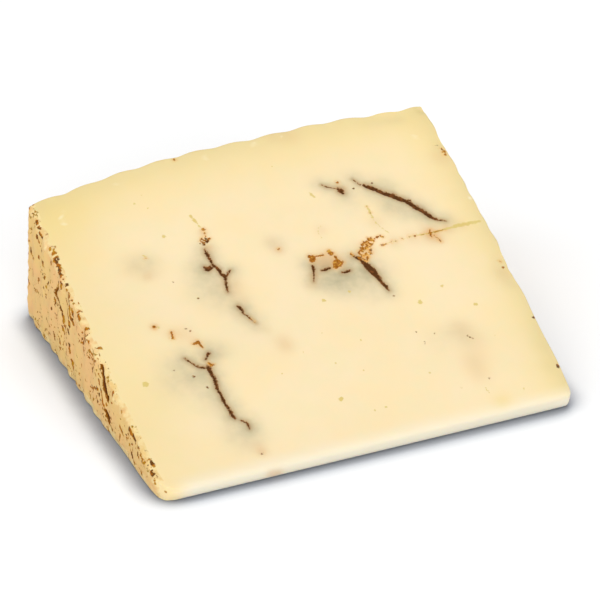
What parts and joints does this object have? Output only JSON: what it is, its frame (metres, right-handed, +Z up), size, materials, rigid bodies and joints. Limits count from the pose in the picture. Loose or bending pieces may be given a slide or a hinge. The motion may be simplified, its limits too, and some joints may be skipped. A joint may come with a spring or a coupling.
{
  "type": "truffle sheep cheese wedge",
  "caption": "Sector-shaped wedge of hard sheep cheese lying on a cut face, with a blunt tip, ribbed rind on its outer faces and shallow truffle furrows in the upper cut face.",
  "frame": {"origin": "under the middle of the wedge's box, on the surface it lies on", "axes": "+X along the wheel's axis from the left to the right flat face, +Y from the blunt tip to the round rind side, +Z up"},
  "size_m": [0.1022, 0.0928, 0.0401],
  "materials": {
    "cheese": "satin cut paste with a dull ribbed rind"
  },
  "bodies": {
    "root": {"cheese_wedge": "cheese"}
  },
  "joints": []
}
